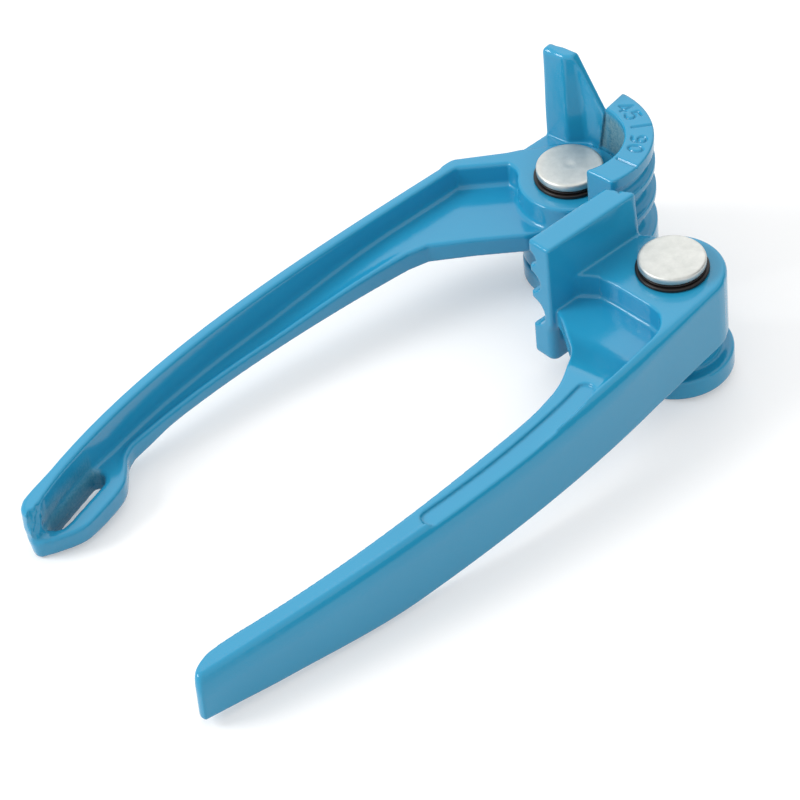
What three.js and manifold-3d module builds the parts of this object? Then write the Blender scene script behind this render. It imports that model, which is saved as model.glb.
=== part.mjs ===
import * as THREE from 'three';
import { mergeVertices } from 'three/addons/utils/BufferGeometryUtils.js';
import Module from 'manifold-3d';

// A plier-style bender for three sizes of small tube. Lengths are in millimetres.
// The origin is on the former's pivot axis, at the link's underside. X runs to the former's zero mark,
// Y runs along a straight tube laid in the former, and Z points up along the two pins.

const wasm = await Module();
wasm.setup();

// Tube sizes, the bend and the grooves, from the smallest tube at the top to the largest
const smallTubeRadius = 1.5875;
const middleTubeRadius = 2.38125;
const largeTubeRadius = 3.175;
const bendRadius = 15.875;
const topFlange = 2.6;
const ridge = 1.5;

// Heights
const castingTop = 22.5;
const handleDepth = 9.2;
const formerRise = 9.7;
const finRise = 20;
const shoeDepth = 14.5;
const shoeBlockDrop = 17.5;
const linkThickness = 4.3;
const thrustThickness = 0.8;

// Pins, and what sits under their heads and at their ends
const pinRadius = 4;
const headRadius = 6.35;
const headThickness = 1.15;
const headChamfer = 0.45;
const washerRadius = 6.8;
const washerThickness = 0.7;
const springRadius = 6.5;
const springSheet = 0.45;
const springRise = 0.3;
const thrustRadius = 8.2;
const ringRadius = 6.6;
const ringThickness = 1;
const ringSlotWidth = 4.4;
const ringNeckRadius = 3.3;
const tailChamfer = 0.4;
const recessDepth = 2.1;
const recessRadius = 7.3;

// Clearances: round a turning pin, between stacked faces, and one overrun for every cut
const turnGap = 0.2;
const seatGap = 0.1;
const overrun = 1;

// Pivots: the spacing of the pins and where the link points in the photographed pose
const pinSpacing = 32.8;
const restLinkDegrees = -109.7;
const shoeDegrees = -9.8;

// Link
const linkFormerRadius = 9.8;
const linkShoeRadius = 10.8;
const linkBossRadius = 8.2;

// Former: hub, scale sector and fin
const hubRadius = 9.8;
const sectorInnerRadius = 10.45;
const sectorEndX = 6.1;
const sectorStartY = 1.1;
const finInnerX = 8.1;
const finKneeX = 10.1;
const finKneeY = 4.2;
const finFlatY = 6.5;
const finOuterX = 10.9;
const finShoulderY = 5.2;
const finFootRise = 7.6;
const finFootY = 1.6;
const finEndY = 11;
const straightRise = 3;
const indexWidth = 0.5;
const indexDepth = 0.4;

// Former handle: a tall outer rail, a low web inside it and a hanging loop at the end
const railWidth = 2.4;
const railFallX = 116.6;
const railFall = 3.6;
const neckX = 8.6;
const neckY = 21.8;
const hubBackX = 1.2;
const hubBackY = 12.6;
const formerTipX = 120.6;
const formerTipY = 27.9;
const formerBow = 10.6;
const webElbowX = 25.3;
const webElbowY = 14.2;
const webHubX = 10.2;
const webHubY = 3.4;
const webBow = 3.7;
const loopNeckX = 97.5;
const loopNeckY = 25.8;
const loopFlareX = 103.6;
const loopFlareY = 21.9;
const loopEndX = 125.4;
const loopLowX = 117.2;
const loopLowY = 20;
const webDrop = 5;
const webFarDrop = 6.7;
const webFarX = 60;
const loopBottomDrop = 10.6;
const loopBottomX = 98;
const webBottomX = 84;
const rimWidth = 1.3;
const rimRise = 0.7;
const slotNearX = 106.4;
const slotFarX = 117.6;
const slotY = 24.7;
const slotRadius = 2.15;

// Shoe: hub, grooved block, pocket and handle
const shoeHubRadius = 10;
const shoeShoulderDegrees = 51;
const shoeFaceReach = 16.6;
const shoeBlockLength = 19.6;
const shoeBlockWidth = 5.1;
const shoeHeelLength = 2.6;
const pocketX = 21;
const pocketFloorDrop = 5;
const pocketCorner = 4.5;
const pocketRampX = 44;
const lipWidth = 1.4;
const webThickness = 4.2;
const shoeWallWidth = 3.2;
const shoeStraightX = 30;
const shoeStraightY = 40.6;
const shoeTipX = 138.6;
const shoeTipY = 25.3;
const shoeOuterBow = 5.5;
const shoeInnerStartX = 46;
const shoeInnerStartY = 31.8;
const shoeInnerEndX = 129.5;
const shoeInnerEndY = 21.8;
const shoeInnerBow = 3.8;
const shoeTipRoundX = 136.5;
const webStartX = 28.9;
const webStartY = 16.6;
const webTurnX = 33.2;
const webTurnY = 26.8;
const shoeTaperX = 98;
const shoeTipDepth = 9;
const gripSlotStartX = 42.5;
const gripSlotEndX = 84;
const gripSlotWidth = 3.4;
const gripSlotDepth = 0.6;

// Levels and angles that follow from the sizes
const roundSteps = 48;
const curveSteps = 16;
const formerLevel = castingTop + formerRise;
const hubBottom = linkThickness + thrustThickness + 2 * seatGap;
const shoeBottom = castingTop - shoeDepth;
const bossHeight = shoeBottom - thrustThickness - 2 * seatGap;
const headLevel = castingTop + washerThickness + springRise + springSheet + 3 * seatGap;
const linkAngle = THREE.MathUtils.degToRad(restLinkDegrees);
const shoeAngle = THREE.MathUtils.degToRad(shoeDegrees);
const shoePivot = new THREE.Vector2(pinSpacing, 0).rotateAround(new THREE.Vector2(), linkAngle);

// The middle height of each groove, worked down from the top face past the flange and the ridges.
const grooves = [];
let grooveTop = formerLevel - topFlange;
for (const radius of [smallTubeRadius, middleTubeRadius, largeTubeRadius]) {
  grooves.push({ radius, level: grooveTop - radius });
  grooveTop -= 2 * radius + ridge;
}

// A closed solid from a closed geometry.
function solid(geometry) {
  const bare = geometry.clone();
  bare.deleteAttribute('normal');
  bare.deleteAttribute('uv');
  const merged = mergeVertices(bare.index ? bare.toNonIndexed() : bare);
  return new wasm.Manifold(new wasm.Mesh({
    numProp: 3,
    vertProperties: new Float32Array(merged.attributes.position.array),
    triVerts: new Uint32Array(merged.index.array),
  }));
}

// A plan outline raised from one height to another.
function raise(shape, bottom, top) {
  const geometry = new THREE.ExtrudeGeometry(shape, {
    depth: top - bottom, bevelEnabled: false, curveSegments: curveSteps,
  });
  return solid(geometry.translate(0, 0, bottom));
}

// An outline drawn in X and Z, carried along Y.
function sideways(shape, nearY, farY) {
  const geometry = new THREE.ExtrudeGeometry(shape, {
    depth: farY - nearY, bevelEnabled: false, curveSegments: curveSteps,
  });
  return solid(geometry.rotateX(Math.PI / 2).translate(0, farY, 0));
}

// An upright round post with its axis at x, y.
function post(radius, bottom, top, x = 0, y = 0) {
  const geometry = new THREE.CylinderGeometry(radius, radius, top - bottom, roundSteps);
  return solid(geometry.rotateX(Math.PI / 2).translate(x, y, (top + bottom) / 2));
}

// A ring turned from a closed profile of radius and height pairs.
function turned(pairs, x = 0, y = 0) {
  const profile = [...pairs, pairs[0]].map(([r, z]) => new THREE.Vector2(r, z));
  const geometry = new THREE.LatheGeometry(profile, roundSteps);
  return solid(geometry.rotateX(Math.PI / 2).translate(x, y, 0));
}

function outline(points) {
  return new THREE.Shape(points.map(([x, y]) => new THREE.Vector2(x, y)));
}

function rectangle(lowX, lowY, highX, highY) {
  return outline([[lowX, lowY], [highX, lowY], [highX, highY], [lowX, highY]]);
}

// A slot with round ends, of the given half width, between two points.
function slot(start, end, halfWidth) {
  const along = end.clone().sub(start).angle();
  const shape = new THREE.Shape();
  shape.absarc(end.x, end.y, halfWidth, along - Math.PI / 2, along + Math.PI / 2);
  shape.absarc(start.x, start.y, halfWidth, along + Math.PI / 2, along + 3 * Math.PI / 2);
  shape.closePath();
  return shape;
}

// A bowed edge: a cubic curve between two points, whose control points stand off the chord at a third
// and two thirds of its length by the bow times each share.
function bowedEdge(start, end, bow, nearShare, farShare) {
  const place = (along, share) => start.clone().lerp(end, along).add(new THREE.Vector2(0, bow * share));
  return new THREE.CubicBezierCurve(start, place(1 / 3, nearShare), place(2 / 3, farShare), end);
}

// Points beside a curve, at a distance to its left as it runs.
function beside(curve, distance) {
  const points = [];
  for (let step = 0; step <= curveSteps; step += 1) {
    const along = curve.getTangent(step / curveSteps);
    points.push(curve.getPoint(step / curveSteps).add(new THREE.Vector2(-along.y, along.x).multiplyScalar(distance)));
  }
  return points;
}

function pointsOf(curve) {
  return curve.getPoints(curveSteps);
}

const formerOuterEdge = bowedEdge(
  new THREE.Vector2(-neckX, neckY), new THREE.Vector2(-formerTipX, formerTipY), formerBow, 0.45, 1);
const formerInnerEdge = bowedEdge(
  new THREE.Vector2(-webElbowX, webElbowY), new THREE.Vector2(-loopNeckX, loopNeckY), webBow, 0.8, 1.3);
const shoeOuterEdge = bowedEdge(
  new THREE.Vector2(-shoeStraightX, -shoeStraightY), new THREE.Vector2(-shoeTipX, -shoeTipY), -shoeOuterBow, 1, 0.6);
const shoeInnerEdge = bowedEdge(
  new THREE.Vector2(-shoeInnerStartX, -shoeInnerStartY), new THREE.Vector2(-shoeInnerEndX, -shoeInnerEndY),
  -shoeInnerBow, 0.9, 1);

// The rounded end of the former handle, from the outer edge round to the loop's straight lower side.
function loopEnd() {
  const tip = new THREE.Path();
  tip.moveTo(-formerTipX, formerTipY);
  tip.quadraticCurveTo(-loopEndX, (formerTipY + slotY) / 2, -loopEndX, slotY);
  tip.quadraticCurveTo(-loopEndX + slotRadius / 2, loopLowY, -loopLowX, loopLowY);
  return tip.getPoints(curveSteps / 2);
}

// The flare that leads from the handle's inner edge out to the loop.
function loopFlare() {
  const flare = new THREE.CubicBezierCurve(
    new THREE.Vector2(-loopFlareX, loopFlareY), new THREE.Vector2(-loopFlareX + slotRadius, loopFlareY),
    new THREE.Vector2(-loopNeckX - slotRadius, loopNeckY), new THREE.Vector2(-loopNeckX, loopNeckY));
  return flare.getPoints(curveSteps / 2);
}

// Former handle: hub, plate, tall rail, web with its low rim, loop, grooved sector, scale wall and fin.
function makeFormerHandle() {
  const bottom = castingTop - handleDepth;
  const outer = pointsOf(formerOuterEdge);
  const inner = pointsOf(formerInnerEdge);

  // The web and the loop share one plan; its top and underside slope away from the hub.
  const webPlan = new THREE.Shape([
    new THREE.Vector2(hubBackX, hubBackY), ...outer, ...loopEnd(), ...loopFlare(),
    ...[...inner].reverse(), new THREE.Vector2(-webHubX, -webHubY), new THREE.Vector2(0, -webHubY),
  ]);
  const farFloor = castingTop - webFarDrop;
  const webSide = outline([
    [0, castingTop - webDrop], [-webElbowX, castingTop - webDrop], [-webFarX, farFloor],
    [-loopEndX - overrun, farFloor], [-loopEndX - overrun, castingTop - loopBottomDrop],
    [-loopBottomX, castingTop - loopBottomDrop], [-webBottomX, bottom], [0, bottom],
  ].reverse());
  let body = raise(webPlan, 0, castingTop).intersect(sideways(webSide, -webHubY - overrun, formerTipY + formerBow));

  // The tall rail follows the outer edge from the neck's corner and falls away over the loop's end.
  const railInner = beside(formerOuterEdge, railWidth).reverse();
  const railPlan = new THREE.Shape([
    ...outer, ...railInner, new THREE.Vector2(-hubRadius / 3, hubBackY), new THREE.Vector2(hubBackX, hubBackY),
  ]);
  const railSide = outline([
    [0, bottom], [0, castingTop], [-railFallX, castingTop], [-formerTipX, castingTop - railFall],
    [-formerTipX, castingTop - loopBottomDrop], [-loopBottomX, castingTop - loopBottomDrop], [-webBottomX, bottom],
  ]);
  body = body.add(raise(railPlan, 0, castingTop).intersect(sideways(railSide, 0, formerTipY + formerBow)));

  // A low rim stands along the web's inner edge.
  const rimPlan = new THREE.Shape([...inner, ...beside(formerInnerEdge, -rimWidth).reverse()]);
  const rimSide = outline([
    [0, castingTop - webDrop + rimRise], [0, bottom], [-webFarX, bottom], [-loopNeckX, bottom],
    [-loopNeckX, farFloor], [-webFarX, farFloor + rimRise], [-webElbowX, castingTop - webDrop + rimRise],
  ]);
  body = body.add(raise(rimPlan, 0, castingTop).intersect(sideways(rimSide, 0, formerTipY + formerBow)));

  // The hub stands down to the link, and its plate joins the rail and the fin at the top level.
  const plate = outline([
    [finInnerX + overrun, 0], [finInnerX + overrun, finEndY], [finInnerX, finEndY], [hubBackX, hubBackY],
    [-hubRadius / 3, hubBackY], [-hubRadius * 0.4, hubRadius * 0.85], [0, -hubRadius / 2],
  ]);
  body = body.add(post(hubRadius, hubBottom, castingTop)).add(raise(plate, bottom, castingTop));

  // The grooved disc keeps only the quarter and a bit that the scale covers. Above the hub's plate it is
  // hollow inside and stops short of the zero line.
  const keep = outline([
    [0, 0], [-sectorEndX, 0], [-sectorEndX, -bendRadius - overrun],
    [bendRadius + overrun, -bendRadius - overrun], [bendRadius + overrun, 0],
  ]);
  const short = rectangle(0, -sectorStartY, bendRadius + overrun, overrun);
  let sector = post(bendRadius, hubBottom, formerLevel).intersect(raise(keep, 0, formerLevel + overrun))
    .subtract(post(sectorInnerRadius, castingTop, formerLevel + overrun))
    .subtract(raise(short, castingTop + straightRise, formerLevel + overrun));

  // Past the zero line a straight base carries the tube on. The tall fin stands on it, and its front edge
  // slopes down to meet the scale wall.
  const base = rectangle(0, -seatGap, bendRadius, finEndY);
  const finTop = castingTop + finRise;
  const finPlan = outline([
    [finInnerX, finEndY], [finInnerX, finFlatY], [finKneeX, finKneeY], [finKneeX, -finFootY],
    [finOuterX, -finFootY], [finOuterX, finEndY],
  ]);
  const slope = outline([
    [-finFootY - overrun, castingTop + finFootRise], [-sectorStartY, castingTop + finFootRise],
    [finShoulderY, finTop], [finShoulderY, finTop + overrun], [-finFootY - overrun, finTop + overrun],
  ]);
  const slopeCut = new THREE.ExtrudeGeometry(slope, { depth: bendRadius, bevelEnabled: false });
  slopeCut.applyMatrix4(new THREE.Matrix4().makeBasis(
    new THREE.Vector3(0, 1, 0), new THREE.Vector3(0, 0, 1), new THREE.Vector3(1, 0, 0)));
  sector = sector.add(raise(base, hubBottom, castingTop + straightRise).subtract(
    raise(rectangle(-overrun, -overrun, finKneeX, finEndY + overrun), castingTop, formerLevel)));
  sector = sector.add(raise(finPlan, bottom, finTop).subtract(solid(slopeCut)));
  for (const { radius, level } of grooves) {
    const ring = new THREE.TorusGeometry(bendRadius, radius, curveSteps, roundSteps);
    const run = new THREE.CylinderGeometry(radius, radius, finEndY + overrun + seatGap, curveSteps);
    run.translate(bendRadius, (finEndY + overrun - seatGap) / 2, level);
    const bend = solid(ring.translate(0, 0, level)).intersect(raise(keep, 0, formerLevel + overrun));
    sector = sector.subtract(bend).subtract(solid(run));
  }
  body = body.add(sector);

  // Cuts: the pin's bore, the hanging slot and the scale's two marks.
  body = body.subtract(post(pinRadius + turnGap, 0, formerLevel));
  const hole = slot(new THREE.Vector2(-slotNearX, slotY), new THREE.Vector2(-slotFarX, slotY), slotRadius);
  body = body.subtract(raise(hole, 0, formerLevel));
  for (const degrees of [-45, -90]) {
    const mark = new THREE.BoxGeometry(bendRadius - sectorInnerRadius, indexWidth, 2 * indexDepth);
    mark.translate((bendRadius + sectorInnerRadius) / 2 + indexWidth, 0, formerLevel);
    body = body.subtract(solid(mark.rotateZ(THREE.MathUtils.degToRad(degrees))));
  }
  return body;
}

// A point of the shoe block, measured along its face and out towards the former from the shoe's pin.
function shoePoint(along, out) {
  return new THREE.Vector2(along, out).rotateAround(new THREE.Vector2(), shoeAngle).add(shoePivot);
}

// Shoe handle: hub, grooved block, plate with its sunk pocket, and the handle's top plate and outer wall.
function makeShoeHandle() {
  const blockBottom = castingTop - shoeBlockDrop;
  const back = shoeFaceReach - shoeBlockWidth;
  const outer = pointsOf(shoeOuterEdge);
  const inner = pointsOf(shoeInnerEdge);
  const tip = new THREE.QuadraticBezierCurve(
    new THREE.Vector2(-shoeTipX, -shoeTipY), new THREE.Vector2(-shoeTipRoundX, -shoeInnerEndY),
    new THREE.Vector2(-shoeInnerEndX, -shoeInnerEndY)).getPoints(curveSteps / 2);
  const webEdge = new THREE.QuadraticBezierCurve(
    new THREE.Vector2(-shoeInnerStartX, -shoeInnerStartY), new THREE.Vector2(-webTurnX, -webTurnY),
    new THREE.Vector2(-webStartX, -webStartY)).getPoints(curveSteps / 2);
  const hubLow = new THREE.Vector2(shoePivot.x, shoePivot.y - shoeHubRadius);
  const shoulder = new THREE.Vector2(shoeHubRadius, 0)
    .rotateAround(new THREE.Vector2(), THREE.MathUtils.degToRad(shoeShoulderDegrees)).add(shoePivot);
  const plan = new THREE.Shape([
    hubLow, ...outer, ...tip, ...[...inner].reverse(), ...webEdge,
    shoePoint(-shoeBlockLength, back), shoePoint(shoeHeelLength, back), shoulder, shoePivot,
  ].reverse());

  // The top plate carries the whole plan, and the handle's depth shrinks towards the tip.
  const lowY = -shoeStraightY - shoeOuterBow;
  const plateSide = rectangle(-shoeTipX - overrun, castingTop - pocketFloorDrop - webThickness, 0, castingTop);
  let body = raise(plan, 0, castingTop).intersect(sideways(plateSide, lowY, 0));
  const wallPlan = new THREE.Shape([
    hubLow, ...outer, ...beside(shoeOuterEdge, -shoeWallWidth).reverse(),
    new THREE.Vector2(hubLow.x, hubLow.y + shoeWallWidth),
  ].reverse());
  const wallSide = outline([
    [-shoeTipX - overrun, castingTop - shoeTipDepth], [-shoeTaperX, shoeBottom], [0, shoeBottom],
    [0, castingTop], [-shoeTipX - overrun, castingTop],
  ]);
  body = body.add(raise(wallPlan, 0, castingTop).intersect(sideways(wallSide, lowY, 0)));
  const hubPlate = new THREE.Shape([
    new THREE.Vector2(-pocketX, hubLow.y), hubLow, shoePivot, shoulder, shoePoint(shoeHeelLength, back),
    shoePoint(-shoeHubRadius, back),
  ]);
  body = body.add(raise(hubPlate, shoeBottom, castingTop));
  body = body.add(post(shoeHubRadius, shoeBottom, castingTop, shoePivot.x, shoePivot.y));

  // The pocket behind the block: a flat floor that ramps up to the handle's top.
  const pocketPlan = new THREE.Shape();
  pocketPlan.moveTo(-pocketX, -webStartY + overrun);
  pocketPlan.lineTo(-pocketRampX, -webStartY + overrun);
  pocketPlan.lineTo(-pocketRampX, -shoeStraightY + lipWidth);
  pocketPlan.lineTo(-pocketX - pocketCorner, -shoeStraightY + lipWidth);
  pocketPlan.absarc(-pocketX - pocketCorner, -shoeStraightY + lipWidth + pocketCorner, pocketCorner, -Math.PI / 2, 0);
  pocketPlan.closePath();
  const pocketSide = outline([
    [-pocketRampX, castingTop], [-webTurnX, castingTop - pocketFloorDrop], [0, castingTop - pocketFloorDrop],
    [0, castingTop + overrun], [-pocketRampX, castingTop + overrun],
  ]);
  body = body.subtract(raise(pocketPlan, 0, castingTop + overrun)
    .intersect(sideways(pocketSide, -shoeStraightY - overrun, 0)));

  // The grooved block, with its right end cut back to clear the former's end.
  const block = new THREE.Shape([
    shoePoint(-shoeBlockLength, back), shoePoint(shoeHeelLength, back), shoePoint(0, shoeFaceReach),
    shoePoint(-shoeBlockLength, shoeFaceReach),
  ]);
  let shoe = raise(block, blockBottom, formerLevel);
  for (const { radius, level } of grooves) {
    const run = new THREE.CylinderGeometry(radius, radius, 3 * shoeBlockLength, curveSteps * 2);
    run.rotateZ(Math.PI / 2).rotateZ(shoeAngle);
    const middle = shoePoint(0, shoeFaceReach);
    shoe = shoe.subtract(solid(run.translate(middle.x, middle.y, level)));
  }
  body = body.add(shoe);

  // Cuts: the pin's bore, the index line on the block and the long shallow slot in the grip.
  body = body.subtract(post(pinRadius + turnGap, 0, formerLevel, shoePivot.x, shoePivot.y));
  const indexPlan = new THREE.Shape([
    shoePoint(indexWidth, shoeFaceReach - shoeBlockWidth / 2), shoePoint(indexWidth, shoeFaceReach + overrun),
    shoePoint(0, shoeFaceReach + overrun), shoePoint(0, shoeFaceReach - shoeBlockWidth / 2),
  ]);
  body = body.subtract(raise(indexPlan, formerLevel - indexDepth, formerLevel + overrun));
  const gripSlot = beside(shoeInnerEdge, gripSlotWidth / 2 + lipWidth)
    .filter((point) => point.x < -gripSlotStartX && point.x > -gripSlotEndX);
  const gripLine = [gripSlot[0], gripSlot[gripSlot.length - 1]];
  body = body.subtract(raise(slot(gripLine[0], gripLine[1], gripSlotWidth / 2),
    castingTop - gripSlotDepth, castingTop + overrun));
  return body;
}

// Link: a flat arm with round ends, a raised boss under the shoe's hub and a sunk seat for each retaining ring.
function makeLink() {
  const across = new THREE.Vector2(-Math.sin(linkAngle), Math.cos(linkAngle));
  const arm = new THREE.Shape([
    across.clone().multiplyScalar(-linkFormerRadius), shoePivot.clone().addScaledVector(across, -linkShoeRadius),
    shoePivot.clone().addScaledVector(across, linkShoeRadius), across.clone().multiplyScalar(linkFormerRadius),
  ]);
  let body = raise(arm, 0, linkThickness);
  body = body.add(post(linkFormerRadius, 0, linkThickness));
  body = body.add(post(linkShoeRadius, 0, linkThickness, shoePivot.x, shoePivot.y));
  body = body.add(post(linkBossRadius, 0, bossHeight, shoePivot.x, shoePivot.y));
  for (const { x, y } of [new THREE.Vector2(), shoePivot]) {
    body = body.subtract(post(pinRadius + turnGap, -overrun, castingTop, x, y));
    body = body.subtract(post(recessRadius, -overrun, recessDepth, x, y));
  }
  return body;
}

// Pin: a flat chamfered head, a plain shank and a neck for its ring near the tail.
function makePin(x, y) {
  const top = headLevel + headThickness;
  const neckTop = recessDepth - seatGap;
  const neckBottom = neckTop - ringThickness - 2 * seatGap;
  return turned([
    [0, top], [0, 0], [pinRadius - tailChamfer, 0], [pinRadius, tailChamfer],
    [pinRadius, neckBottom], [ringNeckRadius, neckBottom], [ringNeckRadius, neckTop], [pinRadius, neckTop],
    [pinRadius, headLevel], [headRadius, headLevel], [headRadius, top - headChamfer], [headRadius - headChamfer, top],
  ], x, y);
}

// A flat washer.
function makeWasher(radius, bottom, thickness, x, y) {
  return turned([
    [pinRadius + turnGap, bottom], [radius, bottom], [radius, bottom + thickness],
    [pinRadius + turnGap, bottom + thickness],
  ], x, y);
}

// A dished spring washer: a thin cone that rises towards the pin.
function makeSpring(x, y) {
  const bottom = castingTop + washerThickness + 2 * seatGap;
  return turned([
    [pinRadius + turnGap, bottom + springRise], [springRadius, bottom], [springRadius, bottom + springSheet],
    [pinRadius + turnGap, bottom + springRise + springSheet],
  ], x, y);
}

// An open retaining ring that snaps onto the pin's neck from one side.
function makeRing(x, y) {
  const bottom = recessDepth - ringThickness - 2 * seatGap;
  const band = post(ringRadius, bottom, bottom + ringThickness, x, y)
    .subtract(post(ringNeckRadius + seatGap, 0, recessDepth, x, y));
  const mouth = rectangle(x, y - ringSlotWidth / 2, x + ringRadius + overrun, y + ringSlotWidth / 2);
  return band.subtract(raise(mouth, 0, recessDepth));
}

const blueEnamel = { color: 0x2b8fc4, roughness: 0.28, metalness: 0 };
const zincPlate = { color: 0xd4d5d3, roughness: 0.35, metalness: 1 };
const blackOxide = { color: 0x1c1a1b, roughness: 0.45, metalness: 0.6 };
const springSteel = { color: 0x8d8f92, roughness: 0.4, metalness: 1 };

const model = new THREE.Group();

// One named mesh from a solid and its finish.
function addPart(name, body, finish) {
  const { vertProperties, triVerts } = body.getMesh();
  const geometry = new THREE.BufferGeometry();
  geometry.setAttribute('position', new THREE.BufferAttribute(new Float32Array(vertProperties), 3));
  geometry.setIndex(new THREE.BufferAttribute(new Uint32Array(triVerts), 1));
  geometry.computeVertexNormals();
  const mesh = new THREE.Mesh(geometry, new THREE.MeshStandardMaterial(finish));
  mesh.name = name;
  model.add(mesh);
}

addPart('former_handle', makeFormerHandle(), blueEnamel);
addPart('shoe_handle', makeShoeHandle(), blueEnamel);
addPart('link', makeLink(), blueEnamel);

// Both pivots hold the same stack; only the height of the lower thrust washer differs.
const pivots = [
  { name: 'former', x: 0, y: 0, seat: linkThickness },
  { name: 'shoe', x: shoePivot.x, y: shoePivot.y, seat: bossHeight },
];
for (const { name, x, y, seat } of pivots) {
  addPart(`${name}_pin`, makePin(x, y), zincPlate);
  addPart(`${name}_head_washer`, makeWasher(washerRadius, castingTop + seatGap, washerThickness, x, y), blackOxide);
  addPart(`${name}_spring_washer`, makeSpring(x, y), blackOxide);
  addPart(`${name}_thrust_washer`, makeWasher(thrustRadius, seat + seatGap, thrustThickness, x, y), springSteel);
  addPart(`${name}_retaining_ring`, makeRing(x, y), springSteel);
}

export default model;
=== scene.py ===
import math

import bpy
import numpy as np
from mathutils import Matrix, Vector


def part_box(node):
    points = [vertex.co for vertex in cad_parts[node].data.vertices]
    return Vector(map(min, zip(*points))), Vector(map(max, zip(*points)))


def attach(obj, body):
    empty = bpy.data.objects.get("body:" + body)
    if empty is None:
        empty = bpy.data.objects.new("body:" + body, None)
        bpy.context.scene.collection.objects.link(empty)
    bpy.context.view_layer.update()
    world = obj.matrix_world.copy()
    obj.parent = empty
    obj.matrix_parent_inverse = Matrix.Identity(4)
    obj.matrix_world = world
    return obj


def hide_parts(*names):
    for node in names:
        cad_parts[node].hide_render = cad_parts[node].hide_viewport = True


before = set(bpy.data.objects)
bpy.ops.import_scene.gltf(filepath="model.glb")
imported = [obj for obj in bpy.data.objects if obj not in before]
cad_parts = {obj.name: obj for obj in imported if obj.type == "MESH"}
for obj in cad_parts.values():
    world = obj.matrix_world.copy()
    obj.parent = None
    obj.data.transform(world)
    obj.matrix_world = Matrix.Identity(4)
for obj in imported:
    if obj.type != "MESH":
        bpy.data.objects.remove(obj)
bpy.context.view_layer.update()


# Camera: a long lens looks down on the tool from the handles' side, as in the photograph.
# Its place is in millimetres from the former's pivot, and its angles are degrees of heading, tilt and roll.
MM = 0.001
camera_place = (-482.81, -381.17, 532.36)
camera_heading = -48.4
camera_tilt = 47.563
camera_roll = -5.69
camera = bpy.data.objects.new("camera", bpy.data.cameras.new("camera"))
camera.data.sensor_width = 36
camera.data.lens = 193.5
camera.data.clip_end = 10
camera.matrix_world = (
    Matrix.Translation([length * MM for length in camera_place])
    @ Matrix.Rotation(math.radians(camera_heading), 4, "Z")
    @ Matrix.Rotation(math.radians(camera_tilt), 4, "X")
    @ Matrix.Rotation(math.radians(camera_roll), 4, "Z")
)
bpy.context.scene.collection.objects.link(camera)
bpy.context.scene.camera = camera
bpy.context.scene.view_settings.view_transform = "Standard"


# Floor: a plain white card. The tool lies on the tip of its hanging loop and on two places of its link's
# edge, so in the part's own frame, which is square to the pins, the card is tilted by six degrees.
def linear(colour):
    """Linear light from an sRGB hex colour: each channel goes through the sRGB curve's inverse."""
    channels = [int(colour[place:place + 2], 16) / 255 for place in (1, 3, 5)]
    return [c / 12.92 if c <= 0.04045 else ((c + 0.055) / 1.055) ** 2.4 for c in channels] + [1]


def new_material(name):
    """An empty node material and its tree."""
    material = bpy.data.materials.new(name)
    material.use_nodes = True
    material.node_tree.nodes.clear()
    return material, material.node_tree


def add(tree, kind, settings=None, **sockets):
    """Adds a node of a kind, sets its properties, and links or sets its inputs: each is named by its words,
    with _ for a space, or by its number, as in _1."""
    node = tree.nodes.new(kind)
    for name, value in (settings or {}).items():
        setattr(node, name, value)
    for name, value in sockets.items():
        socket = node.inputs[int(name[1:])] if name[0] == "_" else node.inputs[name.replace("_", " ")]
        if isinstance(value, bpy.types.NodeSocket):
            tree.links.new(value, socket)
        else:
            socket.default_value = value
    return node


def seen_directly(tree):
    """1 for what the camera sees, in gloss and through glass too, and 0 for light that falls on things."""
    path = add(tree, "ShaderNodeLightPath").outputs
    gloss = add(tree, "ShaderNodeMath", {"operation": "ADD"}, _0=path["Is Camera Ray"],
                _1=path["Is Glossy Ray"])
    either = add(tree, "ShaderNodeMath", {"operation": "ADD", "use_clamp": True}, _0=gloss.outputs[0],
                 _1=path["Is Transmission Ray"])
    return either.outputs[0]


# Card paper: matt and uncoated, so it has no gloss. A faint glow that only the camera and gloss see brings it
# to plain white, and the tool's soft shadow still shows on it.
card_glow = 0.32
card_white, tree = new_material("card_white")
lift = add(tree, "ShaderNodeMath", {"operation": "MULTIPLY"}, _0=seen_directly(tree), _1=card_glow)
paper = add(tree, "ShaderNodeBsdfDiffuse", Color=linear("#D8D8D8"))
glow = add(tree, "ShaderNodeEmission", Color=(1, 1, 1, 1), Strength=lift.outputs[0])
both = add(tree, "ShaderNodeAddShader", _0=paper.outputs[0], _1=glow.outputs[0])
add(tree, "ShaderNodeOutputMaterial", Surface=both.outputs[0])

# The three places where the tool touches the card give its slope.
card_reach = 3000 * MM
card_touch = np.array([[-125.3, 25.1, 11.9], [-21.0, -26.7, 0], [-9.1, 3.8, 0]]) * MM
card_up = np.cross(card_touch[1] - card_touch[0], card_touch[2] - card_touch[0])
card_up /= np.linalg.norm(card_up)
card_side = np.cross([0, 1, 0], card_up)
card_side /= np.linalg.norm(card_side)
card_ahead = np.cross(card_up, card_side)
corners = [card_touch[1] + card_reach * (a * card_side + b * card_ahead)
           for a, b in ((-1, -1), (1, -1), (1, 1), (-1, 1))]
card_mesh = bpy.data.meshes.new("floor")
card_mesh.from_pydata([tuple(c) for c in corners], [], [(0, 1, 2, 3)])
card = bpy.data.objects.new("floor", card_mesh)
card.data.materials.append(card_white)
bpy.context.scene.collection.objects.link(card)


# Light: a white room, a bright soft box on the left and a wide faint one high behind the tool. A dark screen
# stands low on the camera's right, where only gloss shows it, as the dark line along the grip's edge.
lamp_distance = 1400 * MM


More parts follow.
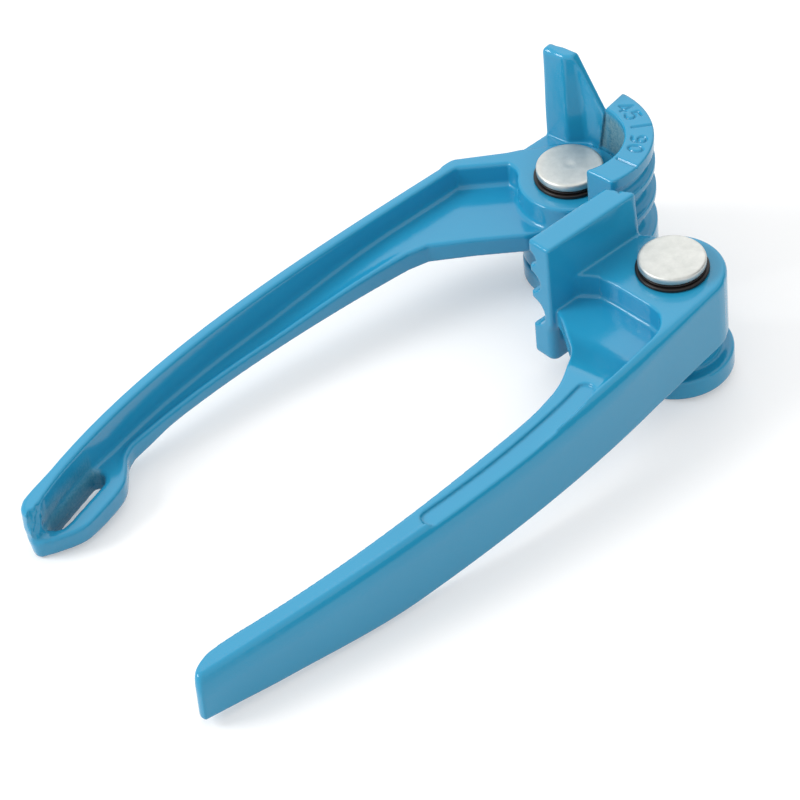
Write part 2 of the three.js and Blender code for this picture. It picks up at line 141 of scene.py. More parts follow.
def soft_box(name, heading, height, size, glow):
    """A square lamp that faces the former's pivot from a heading and a height in degrees. Its power is pi
    times its area times its glow, which makes the glow its brightness, with white paper as 1."""
    lamp = bpy.data.objects.new(name, bpy.data.lights.new(name, "AREA"))
    lamp.data.shape = "SQUARE"
    lamp.data.size = size
    lamp.data.energy = math.pi * size ** 2 * glow
    turn, rise = math.radians(heading), math.radians(height)
    lamp.matrix_world = (
        Matrix.Rotation(turn, 4, "Z") @ Matrix.Rotation(-rise, 4, "Y")
        @ Matrix.Translation((lamp_distance, 0, 0)) @ Matrix.Rotation(math.radians(90), 4, "Y")
    )
    bpy.context.scene.collection.objects.link(lamp)


soft_box("left_box", 142, 39, 520 * MM, 12)
soft_box("back_box", 30, 46, 1100 * MM, 0.6)

room_light = 0.92
room = bpy.data.worlds.new("room")
bpy.context.scene.world = room
room.use_nodes = True
tree = room.node_tree
tree.nodes.clear()
level = add(tree, "ShaderNodeMapRange", Value=seen_directly(tree), To_Min=room_light, To_Max=1.0)
wall = add(tree, "ShaderNodeBackground", Color=(1, 1, 1, 1), Strength=level.outputs[0])
add(tree, "ShaderNodeOutputWorld", Surface=wall.outputs[0])

# Black screen: woven studio cloth, as matt and dark as cloth gets, in two flat leaves.
screen_black, tree = new_material("screen_black")
cloth = add(tree, "ShaderNodeBsdfDiffuse", Color=linear("#0B0B0B"))
add(tree, "ShaderNodeOutputMaterial", Surface=cloth.outputs[0])
screen_radius = 1300 * MM
screen_height = 600 * MM
screen_turn = np.radians(np.array([-85, -50, -15]))
screen_low = [(screen_radius * math.cos(a), screen_radius * math.sin(a), 0.0) for a in screen_turn]
screen_high = [(x, y, screen_height) for x, y, _ in screen_low]
screen_mesh = bpy.data.meshes.new("screen")
screen_mesh.from_pydata(screen_low + screen_high, [], [(0, 3, 4, 1), (1, 4, 5, 2)])
screen = bpy.data.objects.new("screen", screen_mesh)
screen.data.materials.append(screen_black)
bpy.context.scene.collection.objects.link(screen)
screen.visible_camera = False
screen.visible_diffuse = False
screen.visible_shadow = False


# Former handle: the tool's larger casting, a light die-cast metal under blue enamel. Hub, grooved scale
# sector, fin, tall rail, low web and hanging loop are cast in one. It is made as one rounded solid:
# a distance from its surface is worked out in whole arrays, and a net of quads is laid where it is zero.
def bezier(start, near, far, end, steps=24):
    """A cubic curve from start to end, drawn towards near and then far: at a share t of the way the four
    points weigh (1-t)^3, 3t(1-t)^2, 3t^2(1-t) and t^3."""
    t = np.linspace(0, 1, steps + 1)[:, None]
    start, near, far, end = (np.array(p, float) for p in (start, near, far, end))
    return (1 - t) ** 3 * start + 3 * t * (1 - t) ** 2 * near + 3 * t ** 2 * (1 - t) * far + t ** 3 * end


def smooth(points, steps=5):
    """A curve through every point: between two points it is a cubic of the share t, and its slope at each
    point is half the step between that point's neighbours."""
    p = np.array(points, float)
    p = np.vstack([2 * p[0] - p[1], p, 2 * p[-1] - p[-2]])
    a, b, c, d = p[:-3], p[1:-2], p[2:-1], p[3:]
    t = np.linspace(0, 1, steps, endpoint=False)[:, None, None]
    bend, twist = 2 * a - 5 * b + 4 * c - d, 3 * b - a - 3 * c + d
    curve = (2 * b + (c - a) * t + bend * t ** 2 + twist * t ** 3) / 2
    return np.vstack([curve.transpose(1, 0, 2).reshape(-1, 2), p[-2:-1]])


def spans(x, y, points, closed):
    """For every place, against every straight span of a line: the spans' runs, the place's offsets from
    their starts, and the least gap, which is measured to the nearest point within a span."""
    line = np.asarray(points, np.float32)
    starts = line if closed else line[:-1]
    run = (np.roll(line, -1, 0) if closed else line[1:]) - starts
    dx = x[..., None] - starts[:, 0]
    dy = y[..., None] - starts[:, 1]
    t = np.clip((dx * run[:, 0] + dy * run[:, 1]) / np.maximum((run ** 2).sum(1), 1e-9), 0, 1)
    gap = np.hypot(dx - t * run[:, 0], dy - t * run[:, 1]).min(-1)
    return run, dx, dy, gap


def off_line(x, y, points):
    """Distance in plan from an open line: the least gap to its spans."""
    return spans(x, y, points, False)[-1]


def off_plan(x, y, points):
    """Distance in plan from a closed outline. It is negative inside, where a ray towards +x crosses the
    outline an odd number of times."""
    run, dx, dy, gap = spans(x, y, points, True)
    level = np.where(np.abs(run[:, 1]) < 1e-9, 1e-9, run[:, 1])
    crosses = ((dy >= 0) != (dy >= run[:, 1])) & (dx < run[:, 0] * dy / level)
    return np.where(crosses.sum(-1) % 2 == 1, -gap, gap)


def join(a, b, radius):
    """Two solids as one: the lesser distance. Where both are under the radius it is the radius less the
    length of the two shortfalls, which leaves a hollow fillet."""
    short = np.hypot(np.maximum(radius - a, 0), np.maximum(radius - b, 0))
    return np.maximum(radius, np.minimum(a, b)) - short


def meet(a, b, radius):
    """What two solids share: the greater distance. Where both are within the radius of the surface it is
    the length of the two overshoots less the radius, which rounds the edge."""
    over = np.hypot(np.maximum(a + radius, 0), np.maximum(b + radius, 0))
    return np.minimum(-radius, np.maximum(a, b)) + over


def ease(value, start, end):
    """Rises from 0 at start to 1 at end, level at both: thrice the share's square less twice its cube."""
    t = np.clip((value - start) / (end - start), 0, 1)
    return t * t * (3 - 2 * t)


def grid_line(stretches):
    """Grid places along one axis, evenly spaced within each stretch of (start, end, step)."""
    parts = [np.linspace(start, end, max(round((end - start) / step), 1), endpoint=False)
             for start, end, step in stretches]
    return np.append(np.concatenate(parts), stretches[-1][1]).astype(np.float32)


def net(field, xs, ys, zs):
    """Lays quads where a field is zero. Each grid cell that the surface crosses holds one vertex, first at
    the mean of the crossings on its twelve edges and then stepped down the slope onto the surface, and
    each crossed grid edge is ringed by a quad from the four cells round it, turned to face outwards."""
    values = field(xs[:, None, None], ys[None, :, None], zs[None, None, :])
    inside = values < 0
    corner = [(slice(i, i - 1 or None), slice(j, j - 1 or None), slice(k, k - 1 or None))
              for i in (0, 1) for j in (0, 1) for k in (0, 1)]
    count = sum(inside[c].astype(np.int8) for c in corner)
    cells = np.argwhere((count > 0) & (count < 8))
    number = np.full(count.shape, -1, np.int32)
    number[tuple(cells.T)] = np.arange(len(cells))
    total = np.zeros((len(cells), 3))
    crossings = np.zeros(len(cells))
    axes = (xs, ys, zs)
    for axis in range(3):
        for first in (0, 1):
            for second in (0, 1):
                low = np.insert([first, second], axis, 0) + cells
                high = np.insert([first, second], axis, 1) + cells
                a, b = values[tuple(low.T)], values[tuple(high.T)]
                crossed = (a < 0) != (b < 0)
                t = np.where(crossed, a / np.where(crossed, a - b, 1), 0)
                for along in range(3):
                    p, q = axes[along][low[:, along]], axes[along][high[:, along]]
                    total[:, along] += crossed * (p + t * (q - p))
                crossings += crossed
    points = total / crossings[:, None]
    size = np.stack([np.diff(line)[cells[:, i]] for i, line in enumerate(axes)], 1)
    # A slope gentler than a half counts as a half, and no vertex moves by more than half its cell.
    probe = 0.02
    steps = 2
    for _ in range(steps):
        x, y, z = points.astype(np.float32).T
        here = field(x, y, z)
        near = (field(x + probe, y, z), field(x, y + probe, z), field(x, y, z + probe))
        slope = (np.stack(near, 1) - here[:, None]) / probe
        move = -here[:, None] * slope / np.maximum((slope ** 2).sum(1), 0.25)[:, None]
        points += np.clip(move, -size / 2, size / 2)
    quads = []
    for axis in range(3):
        one, two = [i for i in range(3) if i != axis]
        low = [slice(1, -1)] * 3
        high = [slice(1, -1)] * 3
        low[axis], high[axis] = slice(None, -1), slice(1, None)
        starts = inside[tuple(low)]
        edge = np.argwhere(starts != inside[tuple(high)])
        out = starts[tuple(edge.T)]
        edge[:, one] += 1
        edge[:, two] += 1
        ring = []
        for a, b in ((0, 0), (1, 0), (1, 1), (0, 1)):
            cell = edge.copy()
            cell[:, one] -= a
            cell[:, two] -= b
            ring.append(number[tuple(cell.T)])
        ring = np.stack(ring, 1)
        flip = out == (axis == 1)
        ring[flip] = ring[flip][:, ::-1]
        quads.append(ring)
    return points, np.concatenate(quads)


def make_mesh(name, points, *faces):
    """A smooth-shaded object from points in millimetres and arrays of quads or triangles."""
    mesh = bpy.data.meshes.new(name)
    mesh.vertices.add(len(points))
    mesh.vertices.foreach_set("co", (points * MM).astype(np.float32).ravel())
    loops = np.concatenate([f.ravel() for f in faces]).astype(np.int32)
    sides = np.concatenate([np.full(len(f), f.shape[1]) for f in faces])
    mesh.loops.add(len(loops))
    mesh.loops.foreach_set("vertex_index", loops)
    mesh.polygons.add(len(sides))
    mesh.polygons.foreach_set("loop_start", (np.cumsum(sides) - sides).astype(np.int32))
    mesh.polygons.foreach_set("use_smooth", np.ones(len(sides), bool))
    mesh.update(calc_edges=True)
    mesh.validate()
    made = bpy.data.objects.new(name, mesh)
    bpy.context.scene.collection.objects.link(made)
    return made


def mark_rough_and_sheen(piece, share):
    """Keeps a share from 0 to 1 at each vertex: how far the thin, rough paint of a cored wall shows there,
    and with it the painted shade and painted sheen of that wall's greyer, speckled tone.
    """
    rough = piece.data.attributes.new("rough_cast_and_sheen", "FLOAT", "POINT")
    rough.data.foreach_set("value", share.astype(np.float32))


# Levels are in millimetres above the link's underside, and radii are from the former's pivot. A groove has
# the radius of a 1/8, 3/16 or 1/4 inch tube, and a level, and the tubes' middles share one bend line.
casting_top = 22.5
scale_top = 32.2
scale_floor = casting_top - 1.2
fin_top = 42.5
hub_bottom = 5.3
hub_radius = 9.8
bore_radius = 4.2
scale_inner = 10.45
scale_outer = 15.87
bend_line = 15.875
grooves = [(1.5875, 28.0125), (2.38125, 22.54375), (3.175, 15.4875)]
rail_half = 1.15
rail_swell = 0.45
break_drop = 6.3
lump_height = 0.25
nose_draft = 0.17
slot_draft = 0.14
fin_inner = 8.1
fin_outer = 10.9
fin_end = 11.6
figure_radius = 13.15
figure_deep = 0.42
figure_half = 0.3
tick_deep = 0.5
tick_half = 0.36

rail_line = np.vstack([
    bezier((-9.6, 20.7), (-46.2, 27.4), (-83.3, 34.8), (-119.3, 27.4)),
    smooth([(-121.4, 27.0), (-122.6, 26.2), (-123.0, 24.9)]),
])
former_web_plan = np.vstack([
    [(1.2, 11.0), (-8.6, 20.6)],
    bezier((-9.6, 20.7), (-46.2, 27.4), (-83.3, 35.1), (-117.5, 27.6)),
    smooth([(-121.3, 27.9), (-123.6, 26.8), (-124.5, 24.9), (-123.4, 22.9), (-121.0, 21.3), (-118.3, 20.1),
            (-115.6, 19.6), (-111.4, 20.1), (-106.7, 20.7), (-103.7, 21.6), (-100.8, 23.6), (-98.4, 25.5),
            (-95.8, 26.3)]),
    bezier((-91.0, 26.0), (-73.43, 25.6), (-49.37, 21.2), (-29.5, 15.8)),
    [(-25.6, 14.1), (-19.6, 7.8), (-13.4, 0.6), (-8.0, -3.4), (0, -3.4)],
])
neck_plan = np.array([
    (5.9, 7.4), (1.3, 12.6), (-7.4, 21.5), (-8.2, 21.9), (-10.5, 22.2), (-12.5, 20.6), (-10.2, 20.3),
    (-3.2, 12.0), (-3.9, 8.7), (0, 0),
])
foot_plan = np.array([(1.3, 12.6), (8.6, 11.3), (10.9, 10.9), (10.9, 2), (0, 0), (0, 11.5)])
slot_plan = np.vstack([
    smooth([(-105.4, 28.0), (-104.3, 26.9), (-104.6, 25.4), (-106.1, 24.2)]),
    smooth([(-116.9, 22.9), (-118.6, 23.0), (-119.9, 23.9)]),
    [(-120.5, 25.2), (-119.0, 26.0)],
])


def figure(azimuth, strokes):
    """The strokes of one figure, laid on the scale with its top outwards: each pair is a step round the
    scale and a step out from the figure's middle, along the two directions at that azimuth."""
    turn = math.radians(azimuth)
    out = np.array([math.cos(turn), math.sin(turn)])
    along = np.array([out[1], -out[0]])
    return [figure_radius * out + np.array(s)[:, :1] * along + np.array(s)[:, 1:] * out for s in strokes]


ring_turn = np.linspace(0, 2 * math.pi, 13)
round_zero = np.stack([0.85 * np.sin(ring_turn), 1.4 * np.cos(ring_turn)], 1)
nine_loop = np.stack([0.8 * np.sin(ring_turn), 0.6 + 0.8 * np.cos(ring_turn)], 1)
nine_tail = smooth([(0.8, 0.6), (0.75, -0.5), (0.2, -1.3), (-0.7, -1.3)])
five_bowl = smooth([(-0.7, 0.2), (0.2, 0.45), (0.85, -0.2), (0.6, -1.1), (-0.1, -1.4), (-0.8, -1.1)])
forty_five_tick = np.array([(8.4, -8.4), (11.9, -11.9)])
scale_strokes = (
    figure(-17.7, [[(0.35, -1.4), (0.55, 1.4), (-0.95, -0.6), (1.0, -0.5)]])
    + figure(-29.6, [[(0.8, 1.4), (-0.6, 1.35), (-0.7, 0.2)], five_bowl])
    + figure(-61.3, [nine_loop, nine_tail])
    + figure(-73.3, [round_zero])
    + [forty_five_tick]
)
ninety_tick = np.array([(-0.3, -11.4), (-0.3, -17)])


def scale_marks(x, y):
    """How deep the figures and ticks are cut: a V groove, whose depth falls evenly from its stroke's middle
    to nothing at half the stroke's width."""
    near = np.min([off_line(x, y, stroke) for stroke in scale_strokes], 0)
    small = figure_deep * np.clip(1 - near / figure_half, 0, 1)
    wide = tick_deep * np.clip(1 - off_line(x, y, ninety_tick) / tick_half, 0, 1)
    return np.maximum(small, wide)


def former_field(x, y, z):
    """Distance from the former handle's surface, in millimetres: its levels are cut from plan outlines,
    joined with fillets, and the tube grooves are rings round the pivot that run on straight past zero."""
    out = np.hypot(x, y)
    bend_out = np.where(y > 0, x, out)

    # Hub, neck and rail stand to the casting's top. The rail swells, and breaks off low in a lumpy edge.
    lumps = lump_height * np.sin(3.1 * x + 1) * np.sin(1.8 * z)
    rail_top = casting_top - break_drop * ease(lumps - y, -25.7, -24.2) * ease(-x, 116, 118.5)
    nose = nose_draft * np.clip(18 - z, 0, 7) * ease(-x, 110, 121)
    rail = off_line(x, y, rail_line) - rail_half - rail_swell * ease(-x, 113, 121) + nose
    upper_plan = join(join(out - hub_radius, off_plan(x, y, neck_plan), 1.2), rail, 0.4)
    top_edge = 0.7 - 0.55 * ease(x, -1, 2) * ease(y, 3, 7)
    upper = meet(upper_plan, z - rail_top, top_edge)
    foot = meet(off_plan(x, y, foot_plan), z - casting_top + 0.35, 0.4)
    upper = np.minimum(upper, foot)

    # The web lies lower, with a slight rim, and forms the hanging loop, whose slot narrows downwards.
    web_plan = off_plan(x, y, former_web_plan)
    floor = casting_top - 5 - 2 * ease(-x, 26, 62) + 0.5 * ease(-x, 98, 105)
    rim = 0.6 * ease(web_plan, -1.7, -0.8) * ease(-x, 24, 50) * ease(x, -103, -93)
    web = meet(web_plan + nose, z - floor - rim, 0.55)
    underside = casting_top - 9.2 - 1.4 * ease(-x, 84, 100)
    body = meet(join(upper, web, 1.0), underside - z, 0.6)
    slot = off_plan(x, y, slot_plan) + slot_draft * np.maximum(casting_top - 6.5 - z, 0)
    body = meet(body, -slot, 0.5)

    # The scale stands round the hub as a hollow ring, which is low past zero and grooved on its outside.
    hub = meet(out - hub_radius, z - casting_top, 0.5)
    disc = meet(bend_out - scale_outer, z - scale_top + scale_marks(x, y), 0.35)
    near_end = 0.05 * (y + 11.8) - 6.3 - x
    disc = np.maximum(meet(disc, near_end, 0.5), y - 10.95)
    for radius, level in grooves:
        disc = meet(disc, radius - np.hypot(bend_out - bend_line, z - level), 0.3)
    hollow = meet(out - scale_inner, scale_floor - z, 0.4)
    past_zero = meet(-1.1 - y, casting_top - 0.4 + 3.4 * (x > 12) - z, 0.5)
    disc = meet(meet(disc, -hollow, 0.3), -past_zero, 0.3)
    disc = np.where((x < 0) & (y > 0), np.maximum(disc, y), disc)
    core = meet(join(hub, disc, 0.9), hub_bottom - z, 0.5)

    # The fin is a tall wall of flat faces: a thick far end, a thin near one, and a sloping near edge.
    rise = z - casting_top
    fin = meet(fin_inner - x, (fin_inner - x) * 0.83 + (6.4 - y) * 0.56, 0.25)
    fin = join(fin, 10.15 - 0.034 * rise - x, 0.42)
    fin = meet(fin, x - fin_outer, 0.25)
    fin = meet(fin, y - fin_end, 0.6 + 0.4 * ease(rise, 4, 16))
    fin = meet(fin, z - fin_top, 0.75 + 0.5 * ease(y, 8.0, 10.0))
    fin = meet(fin, (rise - 8.38) * 0.482 - (y + 1.2) * 0.876, 0.3)
    fin = np.maximum(fin, np.maximum(casting_top - 3 - z, -1.9 - y))
    inside_ring = np.maximum(out - scale_inner, y + 1.1 - 0.17 * (9 - rise))
    fin = meet(fin, -inside_ring, 0.15)
    whole = join(np.minimum(body, core), fin, 0.45)
    return np.maximum(whole, bore_radius - out)


def former_rough_and_sheen(x, y, z):
    """The share of rough paint, with its painted shade and painted sheen. It is 1 on the scale ring's inner
    wall above the hub and 0.6 on the slot's wall, on its far side and low down, and each falls evenly to
    nothing within a millimetre of its wall."""
    ring = np.clip(1 - np.abs(np.hypot(x, y) - scale_inner) / 0.7, 0, 1) * (y < -0.8 + 0.17 * (31.5 - z))
    ring *= ease(z, 21.5, 23) * ease(scale_top - z, 0.2, 2.5)
    slot = np.clip(1 - np.abs(off_plan(x, y, slot_plan)) / 0.9, 0, 1)
    far_side = ease(y - 0.12 * (x + 112), 25.6, 26.4) * ease(21 - z, 0, 3)
    slot *= 0.6 * np.maximum(far_side, ease(15.8 - z, 0, 0.6))
    return np.maximum(ring, slot)


# The grid's steps are keen over the figures and the grooves, fine over the rest of the hub, and wider
# along the handle.
fine = 0.32
keen = 0.18
xs = grid_line([(-127, -98, 1.6 * fine), (-98, -30, 2.6 * fine), (-30, -8, 1.2 * fine), (-8, -1.2, fine),
                (-1.2, 14.1, keen), (14.1, 18, fine)])
ys = grid_line([(-18, -16.2, fine), (-16.2, -2.1, keen), (-2.1, 13, fine), (13, 36, 1.2 * fine)])
zs = grid_line([(4, 19.5, 1.8 * fine), (19.5, 33.5, fine), (33.5, 44, 1.4 * fine)])
points, quads = net(former_field, xs, ys, zs)
former = make_mesh("former_casting", points, quads)
mark_rough_and_sheen(former, former_rough_and_sheen(*points.T))
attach(former, "former")
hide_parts("former_handle")

# Blue enamel: a sprayed and baked gloss paint on a die casting. It mirrors its surroundings with a faint
# orange peel and slow changes of tone, and it lies thin and rough on walls that a core has formed. There its
# colour is greyer and darker with pale speckles, which are painted shade and a painted whitish sheen of those
# hollow walls.
# Widths are real, in millimetres, but the rough walls' grit is too fine to show: it is drawn twice as coarse.
tone_width = 17
peel_width = 1.7
grit_width = 0.45
blue_enamel, tree = new_material("blue_enamel")
place = add(tree, "ShaderNodeTexCoord").outputs["Object"]
cored_and_sheen = add(tree, "ShaderNodeAttribute", {"attribute_name": "rough_cast_and_sheen"}).outputs["Fac"]
tone = add(tree, "ShaderNodeTexNoise", Vector=place, Scale=1 / (tone_width * MM), Detail=3)
colour = add(tree, "ShaderNodeMix", {"data_type": "RGBA"}, Factor=tone.outputs[0],
             _6=linear("#208BB3"), _7=linear("#2893BB"))
grit = add(tree, "ShaderNodeTexNoise", Vector=place, Scale=1 / (grit_width * MM), Detail=3, Roughness=0.7)
painted_glint_spread = add(tree, "ShaderNodeMapRange", Value=grit.outputs[0], From_Min=0.35, From_Max=0.75)
# Cored walls: a darker grey-blue with pale speckles, which is painted shade and painted sheen.
thin_paint_and_sheen = add(tree, "ShaderNodeMix", {"data_type": "RGBA"}, Factor=painted_glint_spread.outputs[0],
           _6=linear("#2E7088"), _7=linear("#7FA0A8"))
shown = add(tree, "ShaderNodeMix", {"data_type": "RGBA"}, Factor=cored_and_sheen,
            _6=colour.outputs[2], _7=thin_paint_and_sheen.outputs[2])
dull = add(tree, "ShaderNodeMapRange", Value=cored_and_sheen, To_Min=0.14, To_Max=0.5)
peel = add(tree, "ShaderNodeTexNoise", Vector=place, Scale=1 / (peel_width * MM), Detail=2)
pits = add(tree, "ShaderNodeMapRange", Value=cored_and_sheen, To_Min=0.35, To_Max=6)
height = add(tree, "ShaderNodeMath", {"operation": "MULTIPLY_ADD"}, _0=grit.outputs[0], _1=pits.outputs[0],
             _2=peel.outputs[0])
bump = add(tree, "ShaderNodeBump", Strength=0.08, Distance=0.2 * MM, Height=height.outputs[0])
paint = add(tree, "ShaderNodeBsdfPrincipled", Base_Color=shown.outputs[2], Roughness=dull.outputs[0],
            Normal=bump.outputs[0])
add(tree, "ShaderNodeOutputMaterial", Surface=paint.outputs[0])
former.data.materials.append(blue_enamel)


# Shoe handle: the second casting, of the same metal under the same enamel. Its hub carries a tall block whose
# three grooves face the former, a pocket is sunk behind the block, and the grip has a deep outer wall. It is
# made as the former is. Its pivot lies on the link's heading, and its block is square to its own turn.
pin_spacing = 32.8
link_heading = math.radians(-109.7)
shoe_turn = math.radians(-9.8)
shoe_x = pin_spacing * math.cos(link_heading)
shoe_y = pin_spacing * math.sin(link_heading)
shoe_hub_radius = 10
pocket_lip = 0.18
pocket_fall = 4.82
grip_wall = 3.2
grip_slot_half = 1.75
grip_slot_deep = 0.75
block_front = 16.6
block_bottom = 5.0
block_corner = 0.6
block_draft = 0.067
index_deep = 0.4
index_half = 0.4

shoe_outer_plan = np.vstack([
    [(shoe_x, -20.0), (shoe_x, shoe_y - 10)],
    bezier((-30, -40.6), (-66.2, -41.0), (-102.4, -33.7), (-138.3, -25.4)),
    [(-138.6, -24.3), (-138.6, 0), (shoe_x, 0)],
])
shoe_inner_plan = np.vstack([
    [(-8, -14), (-26.5, -14)],
    smooth([(-27.2, -16.6), (-28.6, -18.6), (-30.9, -21.2), (-34, -24.5), (-38, -27.7), (-42.6, -30.1),
            (-48, -31.9), (-55, -32.5)]),
    bezier((-60, -32.3), (-80, -30.9), (-103, -28.6), (-126, -22.7)),
    smooth([(-129.5, -22.0), (-132.5, -21.7), (-135.4, -22.2), (-137.6, -23.3), (-138.7, -24.8)]),
    [(-140, -60), (-8, -60)],
])
pocket_plan = np.vstack([
    [(-21.8, -17.5), (-20.6, -19.6), (-20.0, -21.0), (-20.3, -25.4), (-20.9, -29.5)],
    smooth([(-21.4, -33.3), (-22.2, -35.6), (-23.7, -37.1), (-25.7, -38.1), (-28.6, -38.5)]),
    bezier((-31, -38.4), (-66.2, -38.7), (-101.4, -31.6), (-136.6, -23.4)),
    [(-142, -10), (-30, -10)],
])
block_plan = np.array([(-19.0, 12.1), (1.9, 12.1), (-0.5, 16.0), (-19.0, 16.0)])
heel_plan = np.array([
    (shoe_x - 3, shoe_y), (-4.6, -22.9), (-5.4, -21.1), (-6.2, -19.6), (-8, -17.5), (shoe_x - 3, -16),
])
index_line = np.array([(-7.3, -16.1), (-7.9, -17.4)])
grip_slot = smooth([(-45.7, -36.5), (-52, -36.6), (-62, -36.2), (-72, -35.3), (-80, -34.2), (-86, -33.2)])


def shoe_field(x, y, z):
    """Distance from the shoe handle's surface, in millimetres: what one plan and a level top share, rounded
    wider along the grip, less the pocket, the grip's slot and the hollow underside, and joined to the block,
    which lies along the shoe's own turn and has its grooves ahead."""
    out = np.hypot(x - shoe_x, y - shoe_y)
    along = (x - shoe_x) * math.cos(shoe_turn) + (y - shoe_y) * math.sin(shoe_turn)
    ahead = (y - shoe_y) * math.cos(shoe_turn) - (x - shoe_x) * math.sin(shoe_turn)
    heel = np.minimum(out - shoe_hub_radius, off_plan(x, y, heel_plan))
    outer = np.minimum(off_plan(x, y, shoe_outer_plan), heel)
    inner = np.minimum(off_plan(x, y, shoe_inner_plan), heel)

    # The edge's rounding is a quarter of an ellipse: across and down are its reaches in plan and in level.
    across = 1.2 + 1.1 * ease(-x, 12, 32)
    down = across * (1 + 0.9 * ease(-x, 24, 52))
    body = meet(outer / across, (z - casting_top) / down, 1) * across
    body = meet(body, inner, 0.55)
    floor = casting_top - pocket_lip - pocket_fall * ease(x, -43.5, -30)
    pocket = meet(off_plan(x, y, pocket_plan), floor - z, 0.8 * ease(x, -50, -36) + 0.02)
    body = meet(body, -pocket, 0.35 * ease(x, -60, -34) + 0.05)
    slot = np.maximum(off_line(x, y, grip_slot) - grip_slot_half, casting_top - grip_slot_deep - z)
    body = meet(body, -slot, 0.12)
    depth = 14.5 - 3.5 * ease(-x, 92, 132) - 2 * ease(-x, 122, 146)
    body = meet(body, casting_top - depth - z, 0.8)
    under = np.maximum(np.maximum(outer + grip_wall, x + 21.5), z - casting_top + 9.2)
    body = meet(body, -under, 0.6)

    # The block's near end leans out towards its foot, and a small notch in its top is the scale's index.
    lean = block_draft * np.maximum(scale_top - z, 0) * ease(along, -6, 2)
    block = off_plan(along - lean, ahead, block_plan) - block_corner
    notch = index_deep * np.clip(1 - off_line(x, y, index_line) / index_half, 0, 1)
    block = meet(block, z - scale_top + notch, 0.5)
    below = 0.5 + 1.2 * ease(-z, -15, -12)
    block = np.maximum(block, meet(-19.6 - along, 11.5 - ahead, below))
    block = meet(block, block_bottom - z, 1.4)
    for radius, level in grooves:
        block = meet(block, radius - np.hypot(ahead - block_front, z - level), 0.3)
    whole = join(body, block, 0.6)
    return np.maximum(whole, bore_radius - out)


xs = grid_line([(-140, -88, 1.8 * fine), (-88, -44, 1.3 * fine), (-44, 1, fine)])
ys = grid_line([(-42.5, -8, fine)])
zs = grid_line([(3.5, 33.5, fine)])
points, quads = net(shoe_field, xs, ys, zs)
shoe = make_mesh("shoe_casting", points, quads)
shoe.data.materials.append(blue_enamel)
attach(shoe, "shoe")
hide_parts("shoe_handle")


# Link: a flat cast arm under both hubs, in the same enamel. It widens towards the shoe, stands up there
# in a boss, and has a sunk seat round each bore for the retaining ring.
link_half = 9.8
link_widening = 1
link_top = 4.3
boss_radius = 8.2
boss_top = 7.0
seat_radius = 7.3
seat_deep = 2.1


def link_field(x, y, z):
    """Distance from the link's surface, in millimetres: the gap to the nearest point between the pivots,
    less a half width that grows with that point's share of the way, joined to a round boss and cut by a
    round seat under each pivot."""
    share = np.clip((x * shoe_x + y * shoe_y) / pin_spacing ** 2, 0, 1)
    arm = np.hypot(x - share * shoe_x, y - share * shoe_y) - link_half - link_widening * share
    out = np.hypot(x - shoe_x, y - shoe_y)
    body = meet(arm, z - link_top, 0.6)
    boss = meet(out - boss_radius, z - boss_top, 0.4)
    near = np.minimum(np.hypot(x, y), out)
    seat = meet(near - seat_radius, z - seat_deep, 0.2)
    whole = meet(join(body, boss, 0.8), -z, 0.6)
    return np.maximum(meet(whole, -seat, 0.3), bore_radius - near)


xs = grid_line([(-23, 11, 1.3 * fine)])
ys = grid_line([(-43, 11, 1.3 * fine)])
zs = grid_line([(-0.6, 7.6, fine)])
points, quads = net(link_field, xs, ys, zs)
link = make_mesh("link_casting", points, quads)
link.data.materials.append(blue_enamel)
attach(link, "link")
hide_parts("link")


# Pins: two steel pins, turned from bar and zinc plated. One turns with the former, the other is held in the
# link, and only their flat heads show, each with a rounded rim and a small centre mark. A neck near the tail
# takes the retaining ring.
def soften(line, cuts, steps=4):
    """Rounds a line's corners: each corner gives way to a curve from one cut before it to one cut after it.
    At a share t of the way its two ends and the corner weigh (1-t)^2, t^2 and 2t(1-t)."""
    p = np.array(line, float)
    made = [p[:1]]
    t = np.linspace(0, 1, steps + 1)[:, None]
    for before, corner, after, cut in zip(p[:-2], p[1:-1], p[2:], cuts):
        one = corner + (before - corner) * min(cut / np.linalg.norm(before - corner), 0.5)
        two = corner + (after - corner) * min(cut / np.linalg.norm(after - corner), 0.5)
        made.append((1 - t) ** 2 * one + 2 * t * (1 - t) * corner + t ** 2 * two)
    return np.vstack(made + [p[-1:]])


def turned(name, profile, x, y, steps=128):
    """Turns a profile of (radius, level) round an upright axis: the point at angle a is radius cos a and
    radius sin a from the axis. A profile that starts on the axis is capped there with triangles."""
    r, z = np.array(profile, float).T
    solid = r[0] == 0
    ring = slice(1, -1) if solid else slice(None)
    a = np.linspace(0, 2 * math.pi, steps, endpoint=False)
    rows = np.stack([x + r[ring, None] * np.cos(a), y + r[ring, None] * np.sin(a),
                     np.repeat(z[ring, None], steps, 1)], -1)
    count = len(rows)
    here = np.arange(count * steps).reshape(count, steps)
    after = np.roll(here, -1, 1)
    if not solid:
        here, after = np.vstack([here, here[:1]]), np.vstack([after, after[:1]])
    quads = np.stack([here[:-1], after[:-1], after[1:], here[1:]], -1).reshape(-1, 4)
    points = rows.reshape(-1, 3)
    if not solid:
        return make_mesh(name, points, quads)
    points = np.vstack([points, [(x, y, z[0]), (x, y, z[-1])]])
    low, high = len(points) - 2, len(points) - 1
    under = np.stack([np.full(steps, low), after[0], here[0]], 1)
    over = np.stack([np.full(steps, high), here[-1], after[-1]], 1)
    return make_mesh(name, points, quads, under, over)


pivots = {"former": (0.0, 0.0), "shoe": (shoe_x, shoe_y)}
pivot_rides = {"former": "former", "shoe": "link"}
shank_radius = 4
neck_radius = 3.3
neck_low = 0.8
neck_high = 2.0
head_seat = 23.85

